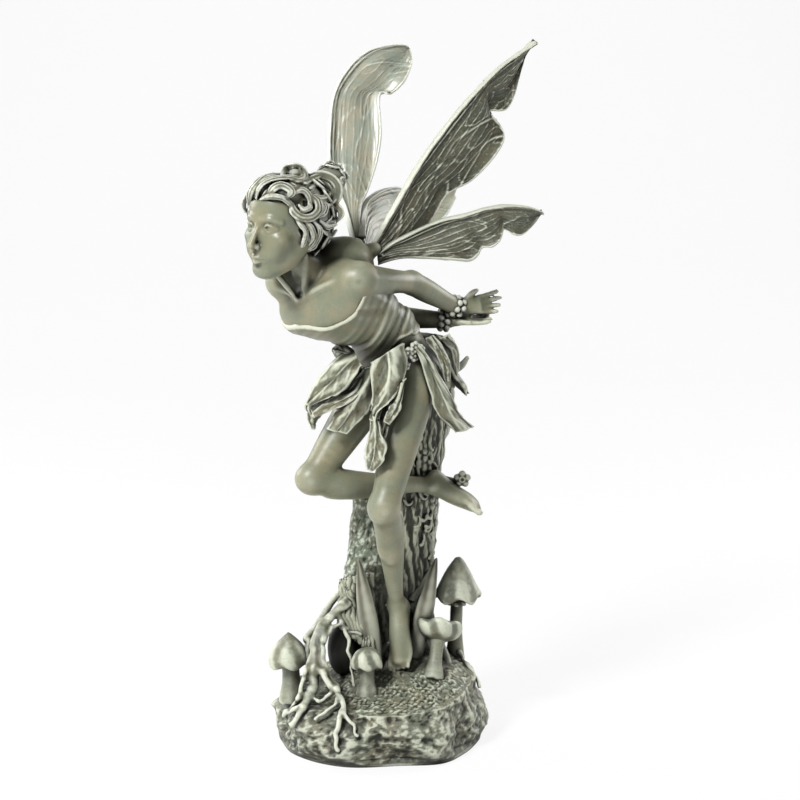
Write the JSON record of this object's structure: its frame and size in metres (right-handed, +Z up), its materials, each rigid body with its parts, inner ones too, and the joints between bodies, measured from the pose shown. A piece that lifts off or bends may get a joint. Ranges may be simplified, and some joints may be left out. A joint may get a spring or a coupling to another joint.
{
  "type": "fairy garden figurine",
  "caption": "Cast figurine of a winged girl in a leaf skirt who leans off a broken tree stump on a rough rock base with roots and toadstools.",
  "frame": {"origin": "middle of the base's flat underside, on the surface the figurine stands on", "axes": "+Z up along the figurine's height, -Y towards the viewer in the picture, +X to the viewer's right"},
  "size_m": [0.2507, 0.2012, 0.6013],
  "materials": {
    "verdigris_resin": "stone-filled cast resin with an antique grey-green patina, dark olive in the hollows and dry-brushed pale on the ridges, satin"
  },
  "bodies": {
    "root": {"fairy_figurine": "verdigris_resin"}
  },
  "joints": []
}
